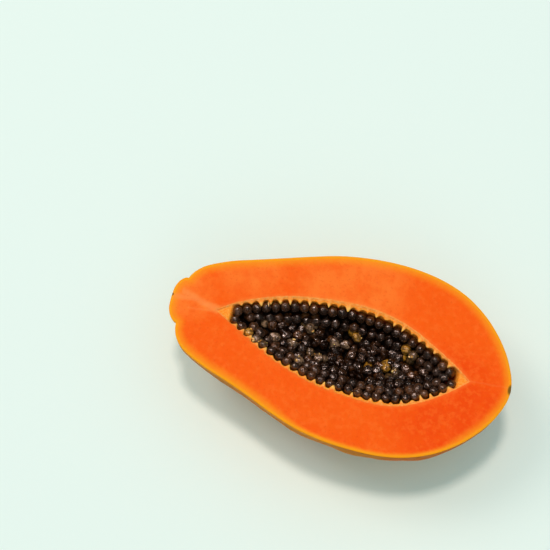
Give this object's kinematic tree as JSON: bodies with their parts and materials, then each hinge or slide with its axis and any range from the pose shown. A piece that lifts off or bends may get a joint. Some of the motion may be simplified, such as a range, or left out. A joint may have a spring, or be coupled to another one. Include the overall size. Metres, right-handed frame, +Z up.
{
  "type": "papaya half",
  "caption": "Half of a ripe papaya, cut lengthways, lying on its skin with the cut face up and the dark seeds still in its cavity.",
  "frame": {"origin": "middle of the small flat spot on the skin that the half rests on", "axes": "+X from the stem end to the blossom end, +Y across the fruit, +Z up out of the cut face"},
  "size_m": [0.22, 0.1248, 0.0606],
  "materials": {
    "flesh_and_skin": "moist orange flesh on the cut face, waxy orange and yellow skin with some green outside",
    "seeds": "wet, near black, glossy"
  },
  "bodies": {
    "root": {"fruit_half": "flesh_and_skin", "seeds": "seeds"}
  },
  "joints": []
}
